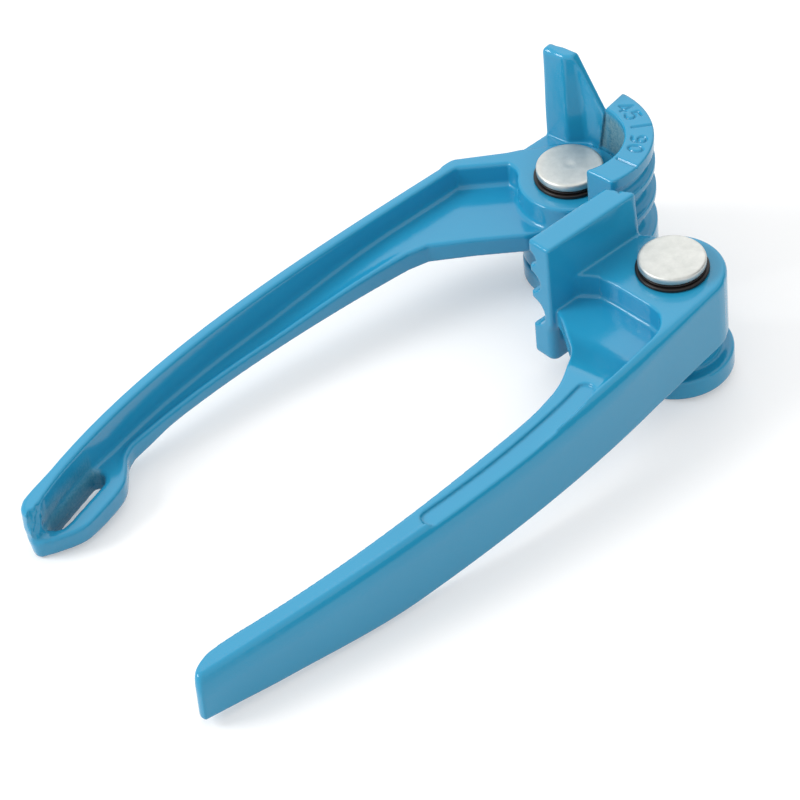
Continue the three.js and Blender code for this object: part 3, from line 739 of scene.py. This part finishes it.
# Zinc plate: a bright electroplated coat on turned steel. It is a broken, milky mirror, with a bloom of paler
# and duller patches and small dents from use. Both widths are real, in millimetres.
bloom_width = 2.4
dent_width = 1.1
zinc_plate, tree = new_material("zinc_plate")
place = add(tree, "ShaderNodeTexCoord").outputs["Object"]
bloom = add(tree, "ShaderNodeTexNoise", Vector=place, Scale=1 / (bloom_width * MM), Detail=5, Roughness=0.65)
spangle = add(tree, "ShaderNodeMapRange", Value=bloom.outputs[0], From_Min=0.3, From_Max=0.7)
colour = add(tree, "ShaderNodeMix", {"data_type": "RGBA"}, Factor=spangle.outputs[0],
             _6=linear("#C6C8C4"), _7=linear("#D9DAD6"))
dull = add(tree, "ShaderNodeMapRange", Value=bloom.outputs[0], To_Min=0.46, To_Max=0.56)
dents = add(tree, "ShaderNodeTexNoise", Vector=place, Scale=1 / (dent_width * MM), Detail=4)
bump = add(tree, "ShaderNodeBump", Strength=0.12, Distance=0.1 * MM, Height=dents.outputs[0])
metal = add(tree, "ShaderNodeBsdfPrincipled", Base_Color=colour.outputs[2], Metallic=1.0,
            Roughness=dull.outputs[0], Normal=bump.outputs[0])
add(tree, "ShaderNodeOutputMaterial", Surface=metal.outputs[0])
for side, (x, y) in pivots.items():
    low, high = (np.array(corner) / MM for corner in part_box(side + "_pin"))
    reach, top = (high[0] - low[0]) / 2, high[2]
    tail = [(0, 0), (shank_radius, 0), (shank_radius, neck_low)]
    neck = [(neck_radius, neck_low), (neck_radius, neck_high), (shank_radius, neck_high)]
    head = [(shank_radius, head_seat), (reach - 0.12, head_seat), (reach, top - 0.01), (reach - 1.05, top)]
    centre_mark = [(1.3, top), (0.8, top - 0.04), (0.3, top - 0.09), (0, top - 0.09)]
    cuts = [0.4, 0.05, 0.05, 0.05, 0.05, 0.1, 0.3, 0.9, 0.1, 0.1, 0.1, 0.05]
    outline = soften(tail + neck + head + centre_mark, cuts)
    pin = turned(side + "_pin_turned", outline, x, y)
    pin.data.materials.append(zinc_plate)
    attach(pin, pivot_rides[side])
    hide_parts(side + "_pin")


# Washers under the heads: a wide flat one and a thin spring one above it, which the head presses flat. Both
# are punched from steel strip, and they lie loose on the pin and turn with it.
def washer_ring(name, pivot, bore, reach, low, high, cuts):
    """A washer: a rectangle from the bore to the reach and from low to high, with its four corners cut
    round, turned about the pin's axis. The line starts midway along the bottom."""
    middle = (reach + bore) / 2
    corners = [(middle, low), (reach, low), (reach, high), (bore, high), (bore, low), (middle, low)]
    return turned(name, soften(corners, cuts)[:-1], *pivot)


# Black oxide: a thin dark film that steel takes in a hot salt bath, finished with oil. It is nearly black
# with a brown tinge, and the oil keeps a soft gloss, in patches whose width is real, in millimetres.
film_width = 3.3
black_oxide, tree = new_material("black_oxide")
place = add(tree, "ShaderNodeTexCoord").outputs["Object"]
film = add(tree, "ShaderNodeTexNoise", Vector=place, Scale=1 / (film_width * MM), Detail=4)
colour = add(tree, "ShaderNodeMix", {"data_type": "RGBA"}, Factor=film.outputs[0],
             _6=linear("#120E0D"), _7=linear("#231B19"))
dull = add(tree, "ShaderNodeMapRange", Value=film.outputs[0], To_Min=0.25, To_Max=0.45)
metal = add(tree, "ShaderNodeBsdfPrincipled", Base_Color=colour.outputs[2], Metallic=0.3,
            Roughness=dull.outputs[0])
add(tree, "ShaderNodeOutputMaterial", Surface=metal.outputs[0])
for side, pivot in pivots.items():
    for kind, thick, inset in (("_head_washer", 0.7, 0), ("_spring_washer", 0.35, 0.25)):
        low, high = (np.array(corner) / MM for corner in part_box(side + kind))
        reach = (high[0] - low[0]) / 2 - inset
        washer = washer_ring(side + kind + "_turned", pivot, bore_radius, reach, low[2], low[2] + thick,
                             [0.16, 0.45 * thick, 0.1, 0.1])
        washer.data.materials.append(black_oxide)
        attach(washer, pivot_rides[side])
        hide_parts(side + kind)


# Thrust washers and retaining rings: thin flat washers that part the castings from the link, and open rings
# that snap onto the pins' necks in the link's sunk seats. All are stamped from ground spring steel strip.

# Spring steel: hardened and left bare. It is a satin grey with a fine grain from the grinding. Its scratches
# are hundredths of a millimetre wide, too fine to show, so they are drawn at this width in millimetres.
scratch_width = 0.67
spring_steel, tree = new_material("spring_steel")
place = add(tree, "ShaderNodeTexCoord").outputs["Object"]
brush = add(tree, "ShaderNodeTexNoise", Vector=place, Scale=1 / (scratch_width * MM), Detail=4, Roughness=0.7)
colour = add(tree, "ShaderNodeMix", {"data_type": "RGBA"}, Factor=brush.outputs[0],
             _6=linear("#85878A"), _7=linear("#A3A5A8"))
dull = add(tree, "ShaderNodeMapRange", Value=brush.outputs[0], To_Min=0.28, To_Max=0.42)
bump = add(tree, "ShaderNodeBump", Strength=0.08, Distance=0.05 * MM, Height=brush.outputs[0])
metal = add(tree, "ShaderNodeBsdfPrincipled", Base_Color=colour.outputs[2], Metallic=1.0,
            Roughness=dull.outputs[0], Normal=bump.outputs[0])
add(tree, "ShaderNodeOutputMaterial", Surface=metal.outputs[0])
for side, pivot in pivots.items():
    low, high = (np.array(corner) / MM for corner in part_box(side + "_thrust_washer"))
    reach = (high[0] - low[0]) / 2
    washer = washer_ring(side + "_thrust_washer_turned", pivot, bore_radius, reach, low[2], high[2],
                         [0.15, 0.15, 0.1, 0.1])
    washer.data.materials.append(spring_steel)
    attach(washer, pivot_rides[side])
    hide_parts(side + "_thrust_washer")

# A ring is an eight-cornered section carried round the pin from one side of its mouth to the other. Its inner
# edge grips the neck at both ends of the mouth and at two places between, and stands clear of it elsewhere:
# by a clearance times one less the root of a sine wave's height.
grip_radius = 3.4
clearance = 1.3
half_mouth = 2.2
edge = 0.12
t = np.linspace(0, 1, 121)
inner = grip_radius + clearance * (1 - np.abs(np.sin(1.5 * math.pi * (2 * t - 1))) ** 0.5)
for side, (x, y) in pivots.items():
    low, high = (np.array(corner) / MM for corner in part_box(side + "_retaining_ring"))
    bottom, top = low[2], high[2]
    outer = np.full_like(t, (high[1] - low[1]) / 2)
    section = [(inner, bottom + edge), (inner + edge, bottom), (outer - edge, bottom), (outer, bottom + edge),
               (outer, top - edge), (outer - edge, top), (inner + edge, top), (inner, top - edge)]
    rows = []
    for radius, level in section:
        start = np.arcsin(half_mouth / radius)
        a = start + (2 * math.pi - 2 * start) * t
        rows.append(np.stack([x + radius * np.cos(a), y + radius * np.sin(a), np.full_like(t, level)], 1))
    rows = np.stack(rows, 1)
    here = np.arange(rows.shape[0] * rows.shape[1]).reshape(rows.shape[:2])
    over = np.roll(here, -1, 1)
    quads = np.stack([here[:-1], here[1:], over[1:], over[:-1]], -1).reshape(-1, 4)
    ends = np.stack([here[0], here[-1][::-1]])
    ring = make_mesh(side + "_retaining_ring_stamped", rows.reshape(-1, 3), quads, ends)
    ring.data.materials.append(spring_steel)
    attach(ring, pivot_rides[side])
    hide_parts(side + "_retaining_ring")
